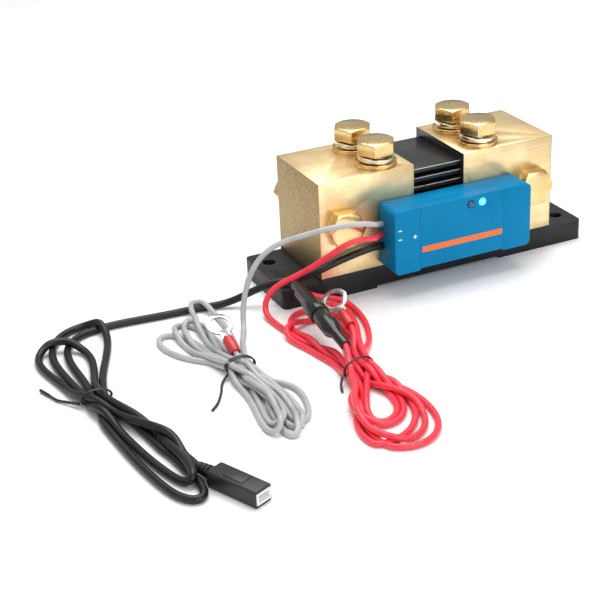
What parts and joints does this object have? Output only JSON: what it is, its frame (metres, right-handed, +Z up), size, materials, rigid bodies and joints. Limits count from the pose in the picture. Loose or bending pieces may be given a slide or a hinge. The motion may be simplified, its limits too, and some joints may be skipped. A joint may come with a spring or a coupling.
{
  "type": "battery monitor shunt",
  "caption": "High-current battery monitor shunt: brass terminal blocks and resistor plates on a moulded base, with a clip-on electronics module and tied leads.",
  "frame": {"origin": "bottom centre of the shunt's box without its leads, on the surface that the base stands on", "axes": "+X along the base towards the battery-side block, -Y towards the electronics module, +Z up"},
  "size_m": [0.2875, 0.2046, 0.0717],
  "materials": {
    "black_nylon": "moulded satin",
    "brass_block": "brushed satin",
    "black_enamel": "semi-gloss",
    "zinc_steel": "zinc plated",
    "blue_abs": "fine satin",
    "green_board": "solder mask",
    "black_epoxy": "matt",
    "tinned_can": "satin",
    "brass_bolt": "turned, semi-bright",
    "spring_bronze": "bright",
    "dark_lens": "clear dark",
    "lit_lens": "lit",
    "black_rubber": "matt",
    "grey_pvc": "satin",
    "black_tie": "satin",
    "tinned_copper": "tinned",
    "red_nylon": "satin",
    "red_pvc": "satin",
    "black_holder": "satin",
    "fuse_glass": "clear",
    "black_pvc": "satin",
    "black_plug": "textured",
    "white_nylon": "moulded"
  },
  "bodies": {
    "shunt": {"base_plate": "black_nylon", "load_block": "brass_block", "battery_block": "brass_block", "resistor_plates": "black_enamel", "block_screws": "zinc_steel", "module_body": "blue_abs", "module_cover": "blue_abs", "circuit_board": "green_board", "controller_chip": "black_epoxy", "radio_module": "tinned_can", "sense_sleeves": "brass_bolt", "sense_screws": "zinc_steel", "error_light": "dark_lens", "link_light": "lit_lens", "lead_clamp": "black_rubber", "grey_lead": "grey_pvc", "grey_hank": "grey_pvc", "grey_tie": "black_tie", "grey_ring_terminal": "tinned_copper", "grey_sleeve": "red_nylon", "red_lead": "red_pvc", "red_hank": "red_pvc", "red_tie": "black_tie", "red_ring_terminal": "tinned_copper", "red_sleeve": "red_nylon", "fuse_body": "black_holder", "fuse_cap": "black_holder", "fuse_link": "fuse_glass", "black_lead": "black_pvc", "black_hank": "black_pvc", "black_tie": "black_tie", "plug_housing": "black_plug", "plug_relief": "black_plug", "plug_header": "white_nylon"},
    "load_top_front_screw": {"load_top_front_bolt": "brass_bolt"},
    "load_top_front_washers": {"load_top_front_spring_washer": "spring_bronze", "load_top_front_flat_washer": "brass_bolt"},
    "load_top_rear_screw": {"load_top_rear_bolt": "brass_bolt"},
    "load_top_rear_washers": {"load_top_rear_spring_washer": "spring_bronze", "load_top_rear_flat_washer": "brass_bolt"},
    "battery_top_front_screw": {"battery_top_front_bolt": "brass_bolt"},
    "battery_top_front_washers": {"battery_top_front_spring_washer": "spring_bronze", "battery_top_front_flat_washer": "brass_bolt"},
    "battery_top_rear_screw": {"battery_top_rear_bolt": "brass_bolt"},
    "battery_top_rear_washers": {"battery_top_rear_spring_washer": "spring_bronze", "battery_top_rear_flat_washer": "brass_bolt"},
    "load_front_screw": {"load_front_bolt": "brass_bolt"},
    "load_rear_screw": {"load_rear_bolt": "brass_bolt"},
    "load_rear_washers": {"load_rear_spring_washer": "spring_bronze", "load_rear_flat_washer": "brass_bolt"},
    "battery_front_screw": {"battery_front_bolt": "brass_bolt"},
    "battery_rear_screw": {"battery_rear_bolt": "brass_bolt"},
    "battery_rear_washers": {"battery_rear_spring_washer": "spring_bronze", "battery_rear_flat_washer": "brass_bolt"}
  },
  "joints": [
    {"name": "load_top_front_lift", "type": "slide", "parent": "shunt", "child": "load_top_front_washers", "axis": [0, 0, 1], "range_m": [0, 0.018]},
    {"name": "load_top_front_turn", "type": "hinge", "parent": "load_top_front_washers", "child": "load_top_front_screw", "pos_m": [-0.028, -0.00988, 0.0594], "axis": [0, 0, 1], "range_deg": [0, 4321]},
    {"name": "load_top_rear_lift", "type": "slide", "parent": "shunt", "child": "load_top_rear_washers", "axis": [0, 0, 1], "range_m": [0, 0.018]},
    {"name": "load_top_rear_turn", "type": "hinge", "parent": "load_top_rear_washers", "child": "load_top_rear_screw", "pos_m": [-0.028, 0.01412, 0.0594], "axis": [0, 0, 1], "range_deg": [0, 4321]},
    {"name": "battery_top_front_lift", "type": "slide", "parent": "shunt", "child": "battery_top_front_washers", "axis": [0, 0, 1], "range_m": [0, 0.018]},
    {"name": "battery_top_front_turn", "type": "hinge", "parent": "battery_top_front_washers", "child": "battery_top_front_screw", "pos_m": [0.028, -0.00988, 0.0594], "axis": [0, 0, 1], "range_deg": [0, 4321]},
    {"name": "battery_top_rear_lift", "type": "slide", "parent": "shunt", "child": "battery_top_rear_washers", "axis": [0, 0, 1], "range_m": [0, 0.018]},
    {"name": "battery_top_rear_turn", "type": "hinge", "parent": "battery_top_rear_washers", "child": "battery_top_rear_screw", "pos_m": [0.028, 0.01412, 0.0594], "axis": [0, 0, 1], "range_deg": [0, 4321]},
    {"name": "load_front_turn", "type": "hinge", "parent": "shunt", "child": "load_front_screw", "pos_m": [-0.0521, -0.02088, 0.0359], "axis": [0, -1, 0], "range_deg": [0, 360]},
    {"name": "load_rear_lift", "type": "slide", "parent": "shunt", "child": "load_rear_washers", "axis": [0, 1, 0], "range_m": [0, 0.018]},
    {"name": "load_rear_turn", "type": "hinge", "parent": "load_rear_washers", "child": "load_rear_screw", "pos_m": [-0.0521, 0.02512, 0.0359], "axis": [0, 1, 0], "range_deg": [0, 4321]},
    {"name": "battery_front_turn", "type": "hinge", "parent": "shunt", "child": "battery_front_screw", "pos_m": [0.0521, -0.02088, 0.0359], "axis": [0, -1, 0], "range_deg": [0, 360]},
    {"name": "battery_rear_lift", "type": "slide", "parent": "shunt", "child": "battery_rear_washers", "axis": [0, 1, 0], "range_m": [0, 0.018]},
    {"name": "battery_rear_turn", "type": "hinge", "parent": "battery_rear_washers", "child": "battery_rear_screw", "pos_m": [0.0521, 0.02512, 0.0359], "axis": [0, 1, 0], "range_deg": [0, 4321]}
  ],
  "couplings": [
    {"joint": "load_top_front_turn", "follows": "load_top_front_lift", "rad_per_m": 4188.8},
    {"joint": "load_top_rear_turn", "follows": "load_top_rear_lift", "rad_per_m": 4188.8},
    {"joint": "battery_top_front_turn", "follows": "battery_top_front_lift", "rad_per_m": 4188.8},
    {"joint": "battery_top_rear_turn", "follows": "battery_top_rear_lift", "rad_per_m": 4188.8},
    {"joint": "load_rear_turn", "follows": "load_rear_lift", "rad_per_m": 4188.8},
    {"joint": "battery_rear_turn", "follows": "battery_rear_lift", "rad_per_m": 4188.8}
  ]
}
